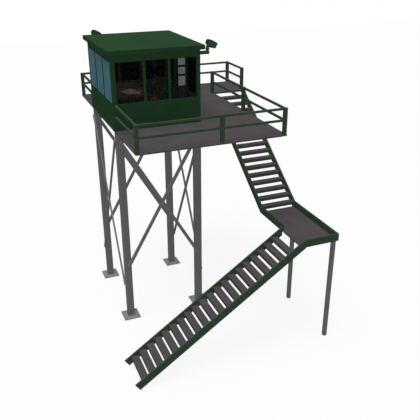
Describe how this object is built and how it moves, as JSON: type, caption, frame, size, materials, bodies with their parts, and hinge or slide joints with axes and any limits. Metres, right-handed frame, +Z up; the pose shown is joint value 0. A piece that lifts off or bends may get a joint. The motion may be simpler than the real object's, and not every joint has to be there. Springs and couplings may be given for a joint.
{
  "type": "steel watchtower",
  "caption": "Glazed lookout cabin on a railed steel deck, raised on braced legs and reached by an outside stair with a landing.",
  "frame": {"origin": "on the ground at the centre of the front left foot plate's underside", "axes": "+Z up, +X along the cabin's front towards the stair side, +Y from the cabin's front to its back"},
  "size_m": [7.4726, 9.464, 10.4808],
  "materials": {
    "beam_steel": "satin grey paint",
    "blue_glass": "satin blue-grey film",
    "brace_steel": "satin grey paint",
    "bracket_green": "satin dark green paint",
    "chair_wood": "dark varnish",
    "dark_glass": "smooth dark grey tinted",
    "deck_steel": "matte grey deck paint",
    "foot_steel": "light grey paint",
    "frame_green": "satin dark green paint",
    "lamp_glass": "smooth warm white",
    "lamp_green": "satin dark green paint",
    "leg_steel": "satin grey paint",
    "paper": "matte white",
    "rail_green": "satin green paint",
    "roof_green": "satin green paint",
    "stair_green": "satin green paint",
    "table_wood": "dark varnish",
    "tinted_glass": "smooth grey tinted",
    "tread_steel": "matte grey deck paint",
    "wall_green": "satin dark green paint"
  },
  "bodies": {
    "tower": {"leg_front_left": "leg_steel", "leg_front_right": "leg_steel", "leg_back_left": "leg_steel", "leg_back_right": "leg_steel", "foot_plates": "foot_steel", "brace_front": "brace_steel", "brace_back": "brace_steel", "brace_left": "brace_steel", "brace_right": "brace_steel", "deck_plate": "deck_steel", "stair_head_plate": "deck_steel", "deck_beams": "beam_steel", "front_wall": "wall_green", "left_wall": "wall_green", "back_wall": "wall_green", "right_wall": "wall_green", "cabin_posts": "frame_green", "window_mullions": "frame_green", "headers_long": "frame_green", "headers_side": "frame_green", "roof": "roof_green", "glass_front": "tinted_glass", "glass_left": "blue_glass", "glass_back": "dark_glass", "glass_right": "dark_glass", "rail_front": "rail_green", "rail_right": "rail_green", "rail_stair_head": "rail_green", "rail_back": "rail_green", "rail_left": "rail_green", "upper_stringers": "stair_green", "upper_treads": "tread_steel", "landing_plate": "deck_steel", "landing_curbs": "stair_green", "landing_posts": "leg_steel", "lower_stringers": "stair_green", "lower_treads": "tread_steel", "table_top": "table_wood", "table_legs": "table_wood", "papers": "paper", "chair_posts": "chair_wood", "chair_seat": "chair_wood", "chair_slats": "chair_wood", "lamp_brackets": "bracket_green"},
    "front_lamp": {"lamp_head_front": "lamp_green", "lamp_lens_front": "lamp_glass"},
    "back_lamp": {"lamp_head_back": "lamp_green", "lamp_lens_back": "lamp_glass"}
  },
  "joints": [
    {"name": "front_lamp_tilt", "type": "hinge", "parent": "tower", "child": "front_lamp", "pos_m": [3.166, -0.327, 10.23], "axis": [0, 1, 0], "range_deg": [-25, 30]},
    {"name": "back_lamp_tilt", "type": "hinge", "parent": "tower", "child": "back_lamp", "pos_m": [0.058, 3.387, 10.23], "axis": [0, 1, 0], "range_deg": [-25, 30]}
  ]
}
